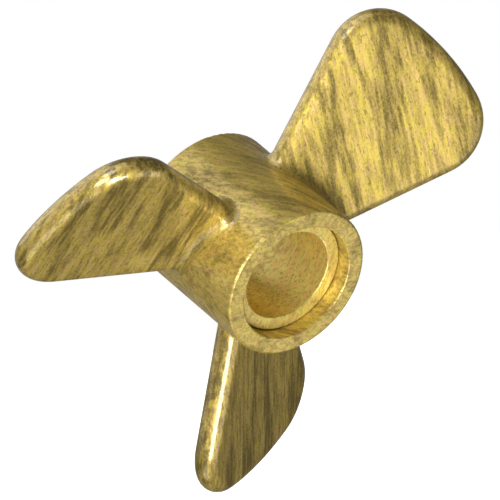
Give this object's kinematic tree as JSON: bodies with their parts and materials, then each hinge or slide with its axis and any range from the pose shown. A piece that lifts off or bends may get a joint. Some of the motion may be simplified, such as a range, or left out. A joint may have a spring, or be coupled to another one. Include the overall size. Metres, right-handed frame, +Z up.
{
  "type": "wooden propeller",
  "caption": "Small free-turning propeller with paddle blades on a thick round hub, gilt wood on a brass bearing sleeve for a round shaft.",
  "frame": {"origin": "centre of the hub on the spin axis, halfway between the hub's end faces", "axes": "+Y along the spin axis from the front of the hub to its rear, so the front faces -Y; +Z up, with blade 1 pointing straight down at rest; +X to the right when the front is seen"},
  "size_m": [0.0256, 0.008, 0.023],
  "materials": {
    "hub_wood": "gold bronze lacquer over turned, close-grained hardwood, satin",
    "blade_wood": "gold bronze lacquer over sanded sheet hardwood, grain showing, satin",
    "brass": "fine turned, satin"
  },
  "bodies": {
    "bearing": {"bearing_sleeve": "brass", "rear_collar": "brass"},
    "propeller": {"hub_barrel": "hub_wood", "blade_1": "blade_wood", "blade_2": "blade_wood", "blade_3": "blade_wood", "blade_pin_1": "brass", "blade_pin_2": "brass", "blade_pin_3": "brass"}
  },
  "joints": [
    {"name": "propeller_spin", "type": "hinge", "parent": "bearing", "child": "propeller", "pos_m": [0, 0, 0], "axis": [0, -1, 0], "continuous": true}
  ]
}
